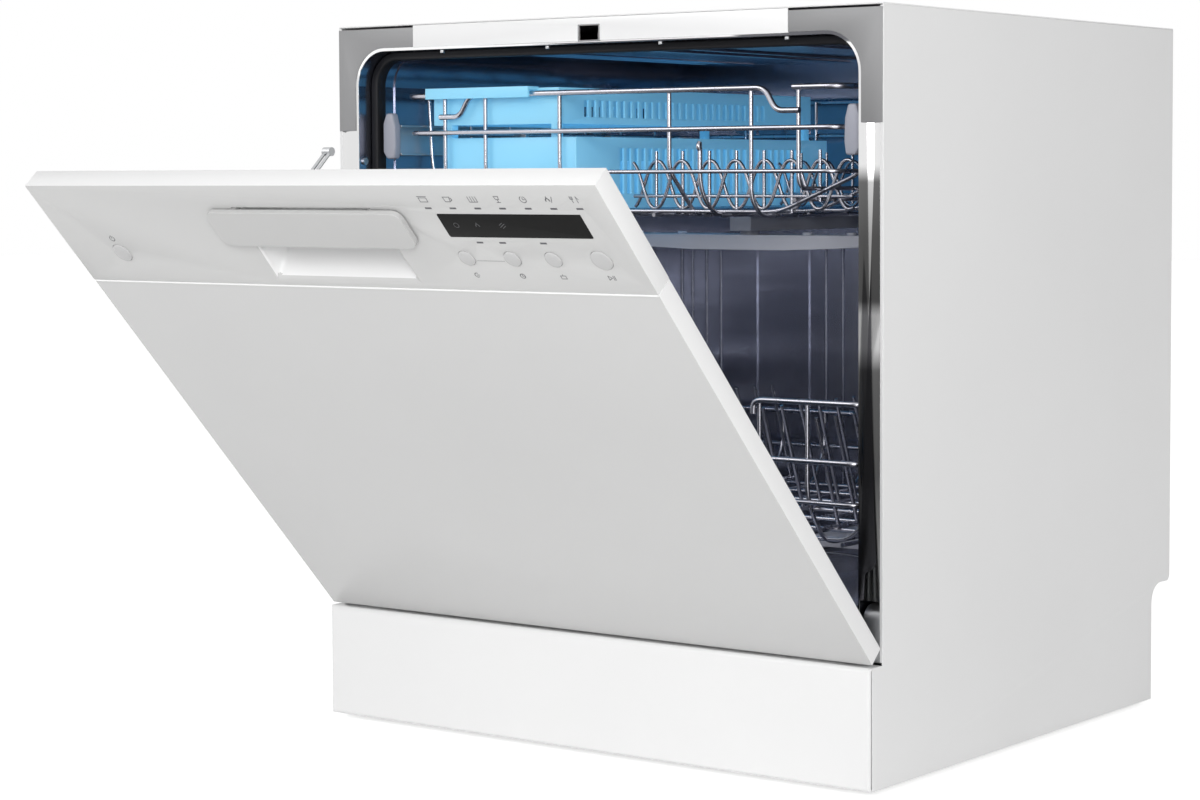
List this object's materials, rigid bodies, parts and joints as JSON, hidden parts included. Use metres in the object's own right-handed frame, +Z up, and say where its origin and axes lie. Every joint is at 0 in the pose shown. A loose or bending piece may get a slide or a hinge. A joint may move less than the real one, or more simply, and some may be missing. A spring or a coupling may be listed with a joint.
{
  "type": "countertop dishwasher",
  "caption": "White countertop dishwasher with a drop-down door half open, a control panel with a pull handle, and two wire baskets with a blue cutlery tray in a steel tub.",
  "frame": {"origin": "centre of the cabinet's footprint on the worktop", "axes": "+X to the right of someone facing the door, +Y to the rear, +Z up"},
  "size_m": [0.55, 0.8322, 0.595],
  "materials": {
    "white_enamel": "satin",
    "door_enamel": "satin",
    "white_plastic": "satin",
    "grey_plastic": "matte",
    "dark_plastic": "matte",
    "steel": "polished",
    "galvanised": "satin",
    "wire": "satin",
    "cyan_plastic": "satin",
    "rubber": "matte",
    "display_glass": "gloss",
    "lamp": "matte",
    "circuit": "matte",
    "blue_cap": "matte"
  },
  "bodies": {
    "cabinet": {"base_tray": "white_plastic", "plinth": "white_enamel", "side_panel_left": "white_enamel", "side_panel_right": "white_enamel", "top_panel": "white_enamel", "rear_panel": "galvanised", "front_frame": "steel", "corner_plates": "galvanised", "top_strip": "white_enamel", "tub": "steel", "door_gasket": "rubber", "hinge_brackets": "galvanised", "door_springs": "galvanised", "sump": "grey_plastic", "wash_pump": "dark_plastic", "drain_pump": "grey_plastic", "softener": "white_plastic", "inlet_valve": "white_plastic", "cord_gland": "dark_plastic", "feet": "rubber", "case_screws": "galvanised", "feed_pipe": "grey_plastic", "filter_plate": "steel"},
    "door": {"door_panel": "door_enamel", "control_panel": "white_plastic", "door_liner": "steel", "display_window": "display_glass", "indicator_lights": "lamp", "control_board": "circuit", "dispenser_housing": "grey_plastic", "hinge_arms": "galvanised"},
    "handle": {"handle_plate": "white_plastic"},
    "latch": {"latch_hook": "galvanised"},
    "dispenser_lid": {"dispenser_lid": "grey_plastic"},
    "rinse_aid_cap": {"rinse_aid_cap": "blue_cap"},
    "power_button": {"power_button": "white_plastic"},
    "programme_button": {"programme_button": "white_plastic"},
    "delay_button": {"delay_button": "white_plastic"},
    "option_button": {"option_button": "white_plastic"},
    "start_button": {"start_button": "white_plastic"},
    "slide_rails": {"slide_rails": "steel", "rail_stops": "grey_plastic"},
    "upper_basket": {"upper_basket_frame": "wire", "upper_basket_waves": "wire", "cutlery_tray": "cyan_plastic", "cutlery_basket": "cyan_plastic", "spray_duct": "grey_plastic"},
    "upper_arm": {"upper_spray_arm": "grey_plastic"},
    "rail_rollers_front": {"rail_rollers_front": "white_plastic"},
    "rail_rollers_rear": {"rail_rollers_rear": "white_plastic"},
    "basket_rollers_front": {"basket_rollers_front": "white_plastic"},
    "basket_rollers_rear": {"basket_rollers_rear": "white_plastic"},
    "lower_basket": {"lower_basket_frame": "wire", "lower_basket_tines": "wire"},
    "lower_wheels_front": {"lower_wheels_front": "white_plastic"},
    "lower_wheels_rear": {"lower_wheels_rear": "white_plastic"},
    "lower_arm": {"lower_spray_arm": "grey_plastic"},
    "filter_cup": {"filter_cup": "grey_plastic"},
    "salt_cap": {"salt_cap": "white_plastic"},
    "float": {"float_dome": "white_plastic"}
  },
  "joints": [
    {"name": "door_hinge", "type": "hinge", "parent": "cabinet", "child": "door", "pos_m": [0, -0.244, 0.107], "axis": [1, 0, 0], "range_deg": [-42.9, 47.1]},
    {"name": "handle_pull", "type": "hinge", "parent": "door", "child": "handle", "pos_m": [0, -0.56132, 0.44554], "axis": [-1, 0, 0], "range_deg": [0, 10], "stiffness_Nm_per_rad": 0.6, "springref_deg": -11.46},
    {"name": "latch_release", "type": "hinge", "parent": "door", "child": "latch", "pos_m": [0, -0.56261, 0.45868], "axis": [1, 0, 0], "range_deg": [0, 6.5]},
    {"name": "dispenser_lid_hinge", "type": "hinge", "parent": "door", "child": "dispenser_lid", "pos_m": [0, -0.32442, 0.24113], "axis": [-1, 0, 0], "range_deg": [0, 85]},
    {"name": "rinse_cap_turn", "type": "hinge", "parent": "door", "child": "rinse_aid_cap", "pos_m": [0.034, -0.3534, 0.2688], "axis": [0, 0.7325, 0.6807], "range_deg": [0, 90]},
    {"name": "power_press", "type": "slide", "parent": "door", "child": "power_button", "axis": [0, 0.7325, 0.6807], "range_m": [0, 0.0015], "stiffness_N_per_m": 250, "springref_m": -0.001},
    {"name": "programme_press", "type": "slide", "parent": "door", "child": "programme_button", "axis": [0, 0.7325, 0.6807], "range_m": [0, 0.0015], "stiffness_N_per_m": 250, "springref_m": -0.001},
    {"name": "delay_press", "type": "slide", "parent": "door", "child": "delay_button", "axis": [0, 0.7325, 0.6807], "range_m": [0, 0.0015], "stiffness_N_per_m": 250, "springref_m": -0.001},
    {"name": "option_press", "type": "slide", "parent": "door", "child": "option_button", "axis": [0, 0.7325, 0.6807], "range_m": [0, 0.0015], "stiffness_N_per_m": 250, "springref_m": -0.001},
    {"name": "start_press", "type": "slide", "parent": "door", "child": "start_button", "axis": [0, 0.7325, 0.6807], "range_m": [0, 0.0015], "stiffness_N_per_m": 250, "springref_m": -0.001},
    {"name": "upper_basket_slide", "type": "slide", "parent": "cabinet", "child": "upper_basket", "axis": [0, -1, 0], "range_m": [0, 0.27]},
    {"name": "rails_slide", "type": "slide", "parent": "cabinet", "child": "slide_rails", "axis": [0, -1, 0], "range_m": [0, 0.135]},
    {"name": "upper_arm_spin", "type": "hinge", "parent": "upper_basket", "child": "upper_arm", "pos_m": [0, -0.01, 0.4115], "axis": [0, 0, 1], "continuous": true},
    {"name": "rail_roller_front_spin", "type": "hinge", "parent": "cabinet", "child": "rail_rollers_front", "pos_m": [0, -0.19, 0.498], "axis": [1, 0, 0], "range_deg": [0, 740]},
    {"name": "rail_roller_rear_spin", "type": "hinge", "parent": "cabinet", "child": "rail_rollers_rear", "pos_m": [0, -0.075, 0.498], "axis": [1, 0, 0], "range_deg": [0, 740]},
    {"name": "basket_roller_front_spin", "type": "hinge", "parent": "upper_basket", "child": "basket_rollers_front", "pos_m": [0, -0.055, 0.498], "axis": [1, 0, 0], "range_deg": [0, 740]},
    {"name": "basket_roller_rear_spin", "type": "hinge", "parent": "upper_basket", "child": "basket_rollers_rear", "pos_m": [0, 0.07, 0.498], "axis": [1, 0, 0], "range_deg": [0, 740]},
    {"name": "lower_basket_slide", "type": "slide", "parent": "cabinet", "child": "lower_basket", "axis": [0, -1, 0], "range_m": [0, 0.03]},
    {"name": "lower_wheel_front_spin", "type": "hinge", "parent": "lower_basket", "child": "lower_wheels_front", "pos_m": [0, -0.148, 0.1523], "axis": [1, 0, 0], "range_deg": [0, 130]},
    {"name": "lower_wheel_rear_spin", "type": "hinge", "parent": "lower_basket", "child": "lower_wheels_rear", "pos_m": [0, 0.128, 0.1523], "axis": [1, 0, 0], "range_deg": [0, 130]},
    {"name": "lower_arm_spin", "type": "hinge", "parent": "cabinet", "child": "lower_arm", "pos_m": [0, -0.01, 0.1565], "axis": [0, 0, 1], "continuous": true},
    {"name": "filter_turn", "type": "hinge", "parent": "cabinet", "child": "filter_cup", "pos_m": [0.056, -0.01, 0.12], "axis": [0, 0, 1], "range_deg": [0, 90]},
    {"name": "salt_cap_turn", "type": "hinge", "parent": "cabinet", "child": "salt_cap", "pos_m": [0.15, 0.13, 0.135], "axis": [0, 0, 1], "range_deg": [0, 540]},
    {"name": "float_rise", "type": "slide", "parent": "cabinet", "child": "float", "axis": [0, 0, 1], "range_m": [0, 0.008]}
  ],
  "couplings": [
    {"joint": "latch_release", "follows": "handle_pull", "ratio": 0.6},
    {"joint": "rails_slide", "follows": "upper_basket_slide", "ratio": 0.5},
    {"joint": "rail_roller_front_spin", "follows": "upper_basket_slide", "rad_per_m": 47.17},
    {"joint": "rail_roller_rear_spin", "follows": "upper_basket_slide", "rad_per_m": 47.17},
    {"joint": "basket_roller_front_spin", "follows": "upper_basket_slide", "rad_per_m": 47.17},
    {"joint": "basket_roller_rear_spin", "follows": "upper_basket_slide", "rad_per_m": 47.17},
    {"joint": "lower_wheel_front_spin", "follows": "lower_basket_slide", "rad_per_m": 71.429},
    {"joint": "lower_wheel_rear_spin", "follows": "lower_basket_slide", "rad_per_m": 71.429}
  ]
}
